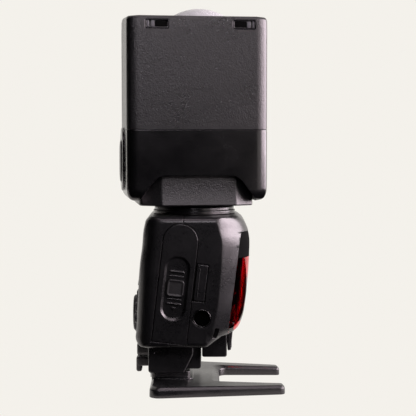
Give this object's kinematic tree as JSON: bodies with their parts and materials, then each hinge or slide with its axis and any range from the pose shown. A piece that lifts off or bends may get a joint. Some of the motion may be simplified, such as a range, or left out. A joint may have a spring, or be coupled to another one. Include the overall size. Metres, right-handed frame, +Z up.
{
  "type": "speedlight flash",
  "caption": "Camera speedlight flash with swivelling, tilting head, battery door and rear controls, standing in a fork-shaped mini stand by its shoe foot.",
  "frame": {"origin": "where the head's swivel axis meets the stand's flat underside", "axes": "+Z up along the swivel axis, +X towards the flash's front (its red sensor window), +Y towards the side away from the battery door"},
  "size_m": [0.0887, 0.0764, 0.2034],
  "materials": {
    "shell_black": "fine-grained black moulded plastic",
    "grip_black": "soft black moulded plastic",
    "key_grey": "dark grey moulded keys",
    "foot_steel": "satin steel",
    "reflector_chrome": "bright polished reflector",
    "contact_brass": "satin brass",
    "window_red": "deep red transparent plastic",
    "lens_clear": "clear moulded plastic",
    "card_white": "matt white card",
    "display_dark": "dark glossy display window",
    "board_green": "green circuit board",
    "cell_sleeve": "dark printed sleeve"
  },
  "bodies": {
    "stand": {"stand_base": "shell_black", "tripod_insert": "contact_brass"},
    "flash_body": {"shoe_foot": "foot_steel", "foot_block": "shell_black", "foot_contact_1": "contact_brass", "foot_contact_2": "contact_brass", "foot_contact_3": "contact_brass", "foot_contact_4": "contact_brass", "rear_shell": "shell_black", "front_shell": "shell_black", "sensor_window": "window_red", "display_window": "display_dark", "battery_holder": "shell_black", "battery_1": "cell_sleeve", "battery_2": "cell_sleeve", "battery_3": "cell_sleeve", "battery_4": "cell_sleeve", "inner_contact": "contact_brass", "main_board": "board_green", "main_capacitor": "cell_sleeve", "af_lamp_block": "grip_black", "contact_housing": "shell_black", "contact_cover": "grip_black", "terminal_block": "grip_black", "sync_socket": "foot_steel", "swivel_collar": "shell_black"},
    "lock_lever": {"lock_lever": "grip_black"},
    "lock_pin": {"lock_pin": "foot_steel"},
    "lock_release": {"lock_release": "key_grey"},
    "battery_door": {"battery_door": "shell_black", "door_contact": "contact_brass"},
    "door_latch": {"door_latch": "grip_black"},
    "terminal_cover": {"terminal_cover": "grip_black"},
    "function_button_1": {"function_button_1": "key_grey"},
    "function_button_2": {"function_button_2": "key_grey"},
    "function_button_3": {"function_button_3": "key_grey"},
    "function_button_4": {"function_button_4": "key_grey"},
    "test_button": {"test_button": "key_grey"},
    "mode_button": {"mode_button": "key_grey"},
    "wireless_button": {"wireless_button": "key_grey"},
    "set_button": {"set_button": "key_grey"},
    "select_dial": {"select_dial": "grip_black"},
    "power_switch": {"power_switch": "grip_black"},
    "neck": {"neck_block": "shell_black", "swivel_shaft": "foot_steel", "tilt_axle": "foot_steel"},
    "head": {"head_rear_shell": "shell_black", "head_front_shell": "shell_black", "pivot_cover_left": "shell_black", "pivot_cover_right": "shell_black", "front_lens": "lens_clear", "zoom_motor": "foot_steel", "trigger_board": "board_green"},
    "bounce_release": {"bounce_release": "grip_black"},
    "wide_panel": {"wide_panel": "lens_clear"},
    "catchlight_card": {"catchlight_card": "card_white"},
    "zoom_carriage": {"zoom_carriage": "grip_black", "reflector": "reflector_chrome", "flash_tube": "lens_clear"},
    "lead_screw": {"lead_screw": "foot_steel"}
  },
  "joints": [
    {"name": "shoe_slide", "type": "slide", "parent": "stand", "child": "flash_body", "axis": [-1, 0, 0], "range_m": [0, 0.02]},
    {"name": "lock_lever_turn", "type": "hinge", "parent": "flash_body", "child": "lock_lever", "pos_m": [-0.0147, 0, 0.0102], "axis": [0, 0, 1], "range_deg": [0, 30]},
    {"name": "lock_pin_lift", "type": "slide", "parent": "flash_body", "child": "lock_pin", "axis": [0, 0, 1], "range_m": [0, 0.0015]},
    {"name": "lock_release_press", "type": "slide", "parent": "flash_body", "child": "lock_release", "axis": [1, 0, 0], "range_m": [0, 0.0015], "stiffness_N_per_m": 250},
    {"name": "battery_door_swing", "type": "hinge", "parent": "flash_body", "child": "battery_door", "pos_m": [-0.02141, -0.037, 0.03203], "axis": [-0.1149, 0, -0.9934], "range_deg": [0, 100]},
    {"name": "door_latch_slide", "type": "slide", "parent": "battery_door", "child": "door_latch", "axis": [-0.1149, 0, -0.9934], "range_m": [0, 0.003]},
    {"name": "terminal_cover_swing", "type": "hinge", "parent": "flash_body", "child": "terminal_cover", "pos_m": [0.0055, -0.0373, 0.05024], "axis": [0.1149, 0, 0.9934], "range_deg": [0, 100]},
    {"name": "function_button_1_press", "type": "slide", "parent": "flash_body", "child": "function_button_1", "axis": [1, 0, 0], "range_m": [0, 0.0006], "stiffness_N_per_m": 250},
    {"name": "function_button_2_press", "type": "slide", "parent": "flash_body", "child": "function_button_2", "axis": [1, 0, 0], "range_m": [0, 0.0006], "stiffness_N_per_m": 250},
    {"name": "function_button_3_press", "type": "slide", "parent": "flash_body", "child": "function_button_3", "axis": [1, 0, 0], "range_m": [0, 0.0006], "stiffness_N_per_m": 250},
    {"name": "function_button_4_press", "type": "slide", "parent": "flash_body", "child": "function_button_4", "axis": [1, 0, 0], "range_m": [0, 0.0006], "stiffness_N_per_m": 250},
    {"name": "test_button_press", "type": "slide", "parent": "flash_body", "child": "test_button", "axis": [1, 0, 0], "range_m": [0, 0.0008], "stiffness_N_per_m": 250},
    {"name": "mode_button_press", "type": "slide", "parent": "flash_body", "child": "mode_button", "axis": [1, 0, 0], "range_m": [0, 0.0008], "stiffness_N_per_m": 250},
    {"name": "wireless_button_press", "type": "slide", "parent": "flash_body", "child": "wireless_button", "axis": [1, 0, 0], "range_m": [0, 0.0008], "stiffness_N_per_m": 250},
    {"name": "set_button_press", "type": "slide", "parent": "flash_body", "child": "set_button", "axis": [1, 0, 0], "range_m": [0, 0.0007], "stiffness_N_per_m": 250},
    {"name": "select_dial_turn", "type": "hinge", "parent": "flash_body", "child": "select_dial", "pos_m": [-0.0305, 0, 0.0391], "axis": [1, 0, 0], "continuous": true},
    {"name": "power_switch_turn", "type": "hinge", "parent": "flash_body", "child": "power_switch", "pos_m": [-0.0305, 0.022, 0.0391], "axis": [1, 0, 0], "range_deg": [-30, 30]},
    {"name": "head_swivel", "type": "hinge", "parent": "flash_body", "child": "neck", "pos_m": [0, 0, 0.0985], "axis": [0, 0, 1], "range_deg": [-277.5, 82.5]},
    {"name": "head_tilt", "type": "hinge", "parent": "neck", "child": "head", "pos_m": [-0.00119, -0.00016, 0.124], "axis": [-0.9914, -0.1305, 0], "range_deg": [0, 97]},
    {"name": "bounce_release_press", "type": "slide", "parent": "head", "child": "bounce_release", "axis": [0.9914, 0.1305, 0], "range_m": [0, 0.0007], "stiffness_N_per_m": 250},
    {"name": "wide_panel_slide", "type": "slide", "parent": "head", "child": "wide_panel", "axis": [0, 0, 1], "range_m": [0, 0.04]},
    {"name": "catchlight_slide", "type": "slide", "parent": "head", "child": "catchlight_card", "axis": [0, 0, 1], "range_m": [0, 0.04]},
    {"name": "zoom_slide", "type": "slide", "parent": "head", "child": "zoom_carriage", "axis": [0, 0, 1], "range_m": [0, 0.016]},
    {"name": "lead_screw_turn", "type": "hinge", "parent": "head", "child": "lead_screw", "pos_m": [0.02954, 0.00389, 0.1634], "axis": [0, 0, 1], "range_deg": [0, 725]}
  ],
  "couplings": [
    {"joint": "lock_pin_lift", "follows": "lock_lever_turn", "m_per_rad": 0.00286},
    {"joint": "lead_screw_turn", "follows": "zoom_slide", "rad_per_m": 785.4}
  ]
}
